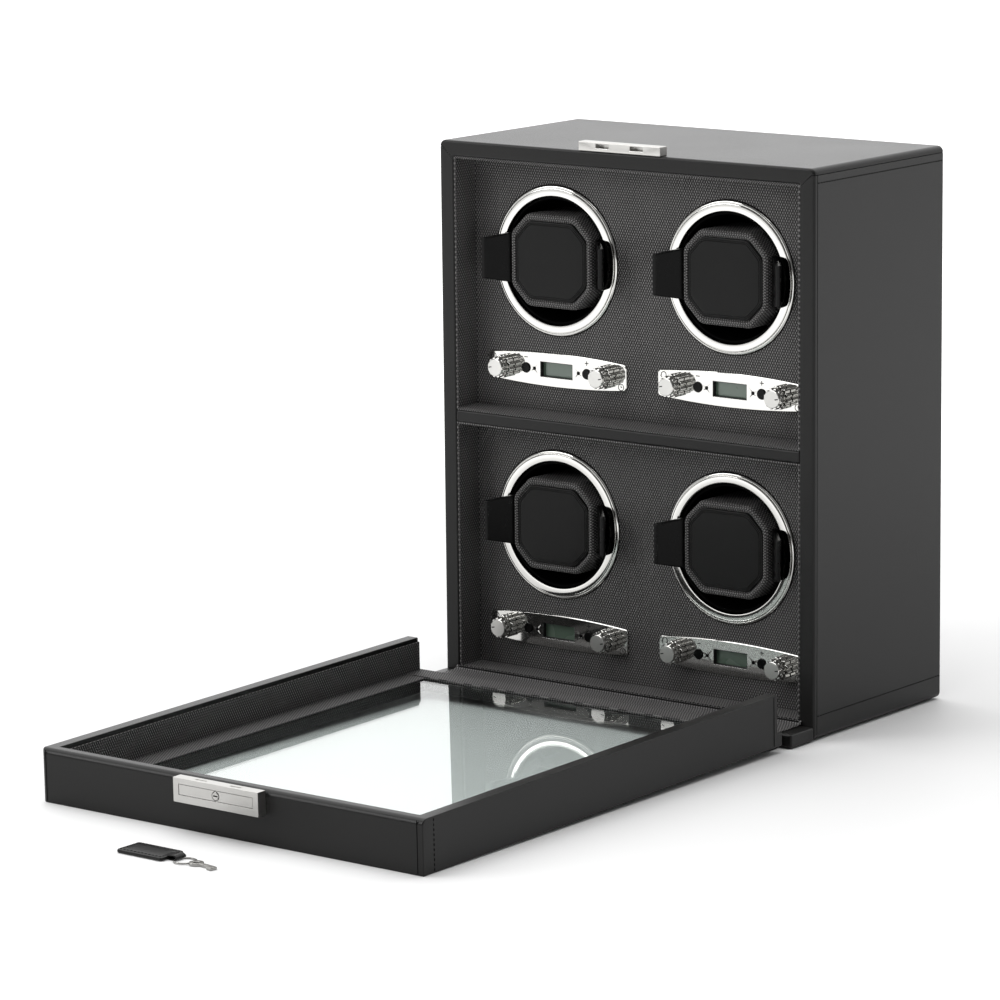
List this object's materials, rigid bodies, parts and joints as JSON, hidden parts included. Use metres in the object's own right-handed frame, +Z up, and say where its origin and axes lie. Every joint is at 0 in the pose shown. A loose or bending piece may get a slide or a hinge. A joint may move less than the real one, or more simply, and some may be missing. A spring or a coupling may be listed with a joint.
{
  "type": "watch winder box",
  "caption": "Leather-wrapped watch winder cabinet with a fold-down glazed door, rotating drums with removable cuffs, control knobs, buttons and a key lock.",
  "frame": {"origin": "middle of the cabinet's base on the surface it stands on", "axes": "+Z up, +X to the right seen from the front, -Y out of the cabinet's front; the door lies open towards -Y"},
  "size_m": [0.293, 0.5986, 0.366],
  "materials": {
    "black_leather": "fine-grained, satin",
    "embossed_textile": "embossed lattice weave, low sheen",
    "pad_leather": "smooth, soft",
    "polished_chrome": "mirror polished",
    "satin_nickel": "satin brushed",
    "clear_glass": "clear, polished",
    "display": "grey-green liquid crystal display",
    "black_gloss": "glossy moulded",
    "black_matte": "matt moulded",
    "motor_steel": "plated can",
    "circuit_board": "green solder mask",
    "screw_steel": "zinc plated",
    "black_felt": "short felt pile",
    "hinge_hide": "folding hinge leather"
  },
  "bodies": {
    "cabinet": {"cabinet_shell": "black_leather", "base_felt": "black_felt", "shelf_divider": "black_leather", "liner_trays": "embossed_textile", "face_panels": "embossed_textile", "back_cover": "black_matte", "cover_screws": "screw_steel", "dc_inlet": "black_matte", "bezel_rings": "polished_chrome", "drum_housings": "black_matte", "gear_motors": "motor_steel", "control_plates": "polished_chrome", "lcd_modules": "display", "control_boards": "circuit_board", "front_sill": "black_leather", "sill_cloth": "embossed_textile", "hinge_leather": "hinge_hide", "strike_plate": "satin_nickel"},
    "door": {"door_tray": "black_leather", "glass_pane": "clear_glass", "door_liner": "embossed_textile", "lock_body": "satin_nickel"},
    "push_panel": {"push_panel": "satin_nickel"},
    "lock_cylinder": {"lock_cylinder": "satin_nickel"},
    "latch_bolts": {"latch_bolts": "satin_nickel"},
    "key_set": {"key": "satin_nickel", "split_ring": "satin_nickel", "key_fob": "black_leather"},
    "drum_upper_left": {"drum_upper_left": "black_matte"},
    "cuff_upper_left": {"cuff_block_upper_left": "embossed_textile", "cuff_pad_upper_left": "pad_leather", "cuff_carrier_upper_left": "black_gloss"},
    "knob_turns_upper_left": {"knob_turns_upper_left": "polished_chrome"},
    "knob_direction_upper_left": {"knob_direction_upper_left": "polished_chrome"},
    "button_minus_upper_left": {"button_minus_upper_left": "black_gloss"},
    "button_plus_upper_left": {"button_plus_upper_left": "black_gloss"},
    "drum_upper_right": {"drum_upper_right": "black_matte"},
    "cuff_upper_right": {"cuff_block_upper_right": "embossed_textile", "cuff_pad_upper_right": "pad_leather", "cuff_carrier_upper_right": "black_gloss"},
    "knob_turns_upper_right": {"knob_turns_upper_right": "polished_chrome"},
    "knob_direction_upper_right": {"knob_direction_upper_right": "polished_chrome"},
    "button_minus_upper_right": {"button_minus_upper_right": "black_gloss"},
    "button_plus_upper_right": {"button_plus_upper_right": "black_gloss"},
    "drum_lower_left": {"drum_lower_left": "black_matte"},
    "cuff_lower_left": {"cuff_block_lower_left": "embossed_textile", "cuff_pad_lower_left": "pad_leather", "cuff_carrier_lower_left": "black_gloss"},
    "knob_turns_lower_left": {"knob_turns_lower_left": "polished_chrome"},
    "knob_direction_lower_left": {"knob_direction_lower_left": "polished_chrome"},
    "button_minus_lower_left": {"button_minus_lower_left": "black_gloss"},
    "button_plus_lower_left": {"button_plus_lower_left": "black_gloss"},
    "drum_lower_right": {"drum_lower_right": "black_matte"},
    "cuff_lower_right": {"cuff_block_lower_right": "embossed_textile", "cuff_pad_lower_right": "pad_leather", "cuff_carrier_lower_right": "black_gloss"},
    "knob_turns_lower_right": {"knob_turns_lower_right": "polished_chrome"},
    "knob_direction_lower_right": {"knob_direction_lower_right": "polished_chrome"},
    "button_minus_lower_right": {"button_minus_lower_right": "black_gloss"},
    "button_plus_lower_right": {"button_plus_lower_right": "black_gloss"}
  },
  "joints": [
    {"name": "door_hinge", "type": "hinge", "parent": "cabinet", "child": "door", "pos_m": [0, -0.107, 0.005], "axis": [-1, 0, 0], "range_deg": [0, 90.81]},
    {"name": "push_panel_press", "type": "slide", "parent": "door", "child": "push_panel", "axis": [0, 0.9999, 0.0141], "range_m": [0, 0.0007], "stiffness_N_per_m": 800},
    {"name": "key_turn", "type": "hinge", "parent": "door", "child": "lock_cylinder", "pos_m": [-0.002, -0.46914, 0.0262], "axis": [0, -0.9999, -0.0141], "range_deg": [0, 90]},
    {"name": "bolt_slide", "type": "slide", "parent": "door", "child": "latch_bolts", "axis": [0, -0.0141, 0.9999], "range_m": [0, 0.0036]},
    {"name": "key_lift", "type": "slide", "parent": "cabinet", "child": "key_set", "axis": [0, 0, 1], "range_m": [0, 0.12]},
    {"name": "drum_spin_upper_left", "type": "hinge", "parent": "cabinet", "child": "drum_upper_left", "pos_m": [-0.0685, -0.02, 0.2842], "axis": [0, 1, 0], "continuous": true},
    {"name": "cuff_slide_upper_left", "type": "slide", "parent": "drum_upper_left", "child": "cuff_upper_left", "axis": [0, -1, 0], "range_m": [0, 0.022]},
    {"name": "dial_turns_upper_left", "type": "hinge", "parent": "cabinet", "child": "knob_turns_upper_left", "pos_m": [-0.1092, -0.06, 0.2126], "axis": [0, 1, 0], "range_deg": [-135, 135]},
    {"name": "dial_direction_upper_left", "type": "hinge", "parent": "cabinet", "child": "knob_direction_upper_left", "pos_m": [-0.0278, -0.06, 0.2126], "axis": [0, 1, 0], "range_deg": [-60, 60]},
    {"name": "press_minus_upper_left", "type": "slide", "parent": "cabinet", "child": "button_minus_upper_left", "axis": [0, 1, 0], "range_m": [0, 0.0012], "stiffness_N_per_m": 400},
    {"name": "press_plus_upper_left", "type": "slide", "parent": "cabinet", "child": "button_plus_upper_left", "axis": [0, 1, 0], "range_m": [0, 0.0012], "stiffness_N_per_m": 400},
    {"name": "drum_spin_upper_right", "type": "hinge", "parent": "cabinet", "child": "drum_upper_right", "pos_m": [0.0685, -0.02, 0.2842], "axis": [0, 1, 0], "continuous": true},
    {"name": "cuff_slide_upper_right", "type": "slide", "parent": "drum_upper_right", "child": "cuff_upper_right", "axis": [0, -1, 0], "range_m": [0, 0.022]},
    {"name": "dial_turns_upper_right", "type": "hinge", "parent": "cabinet", "child": "knob_turns_upper_right", "pos_m": [0.0278, -0.06, 0.2126], "axis": [0, 1, 0], "range_deg": [-135, 135]},
    {"name": "dial_direction_upper_right", "type": "hinge", "parent": "cabinet", "child": "knob_direction_upper_right", "pos_m": [0.1092, -0.06, 0.2126], "axis": [0, 1, 0], "range_deg": [-60, 60]},
    {"name": "press_minus_upper_right", "type": "slide", "parent": "cabinet", "child": "button_minus_upper_right", "axis": [0, 1, 0], "range_m": [0, 0.0012], "stiffness_N_per_m": 400},
    {"name": "press_plus_upper_right", "type": "slide", "parent": "cabinet", "child": "button_plus_upper_right", "axis": [0, 1, 0], "range_m": [0, 0.0012], "stiffness_N_per_m": 400},
    {"name": "drum_spin_lower_left", "type": "hinge", "parent": "cabinet", "child": "drum_lower_left", "pos_m": [-0.0685, -0.02, 0.111], "axis": [0, 1, 0], "continuous": true},
    {"name": "cuff_slide_lower_left", "type": "slide", "parent": "drum_lower_left", "child": "cuff_lower_left", "axis": [0, -1, 0], "range_m": [0, 0.022]},
    {"name": "dial_turns_lower_left", "type": "hinge", "parent": "cabinet", "child": "knob_turns_lower_left", "pos_m": [-0.1092, -0.06, 0.0394], "axis": [0, 1, 0], "range_deg": [-135, 135]},
    {"name": "dial_direction_lower_left", "type": "hinge", "parent": "cabinet", "child": "knob_direction_lower_left", "pos_m": [-0.0278, -0.06, 0.0394], "axis": [0, 1, 0], "range_deg": [-60, 60]},
    {"name": "press_minus_lower_left", "type": "slide", "parent": "cabinet", "child": "button_minus_lower_left", "axis": [0, 1, 0], "range_m": [0, 0.0012], "stiffness_N_per_m": 400},
    {"name": "press_plus_lower_left", "type": "slide", "parent": "cabinet", "child": "button_plus_lower_left", "axis": [0, 1, 0], "range_m": [0, 0.0012], "stiffness_N_per_m": 400},
    {"name": "drum_spin_lower_right", "type": "hinge", "parent": "cabinet", "child": "drum_lower_right", "pos_m": [0.0685, -0.02, 0.111], "axis": [0, 1, 0], "continuous": true},
    {"name": "cuff_slide_lower_right", "type": "slide", "parent": "drum_lower_right", "child": "cuff_lower_right", "axis": [0, -1, 0], "range_m": [0, 0.022]},
    {"name": "dial_turns_lower_right", "type": "hinge", "parent": "cabinet", "child": "knob_turns_lower_right", "pos_m": [0.0278, -0.06, 0.0394], "axis": [0, 1, 0], "range_deg": [-135, 135]},
    {"name": "dial_direction_lower_right", "type": "hinge", "parent": "cabinet", "child": "knob_direction_lower_right", "pos_m": [0.1092, -0.06, 0.0394], "axis": [0, 1, 0], "range_deg": [-60, 60]},
    {"name": "press_minus_lower_right", "type": "slide", "parent": "cabinet", "child": "button_minus_lower_right", "axis": [0, 1, 0], "range_m": [0, 0.0012], "stiffness_N_per_m": 400},
    {"name": "press_plus_lower_right", "type": "slide", "parent": "cabinet", "child": "button_plus_lower_right", "axis": [0, 1, 0], "range_m": [0, 0.0012], "stiffness_N_per_m": 400}
  ]
}
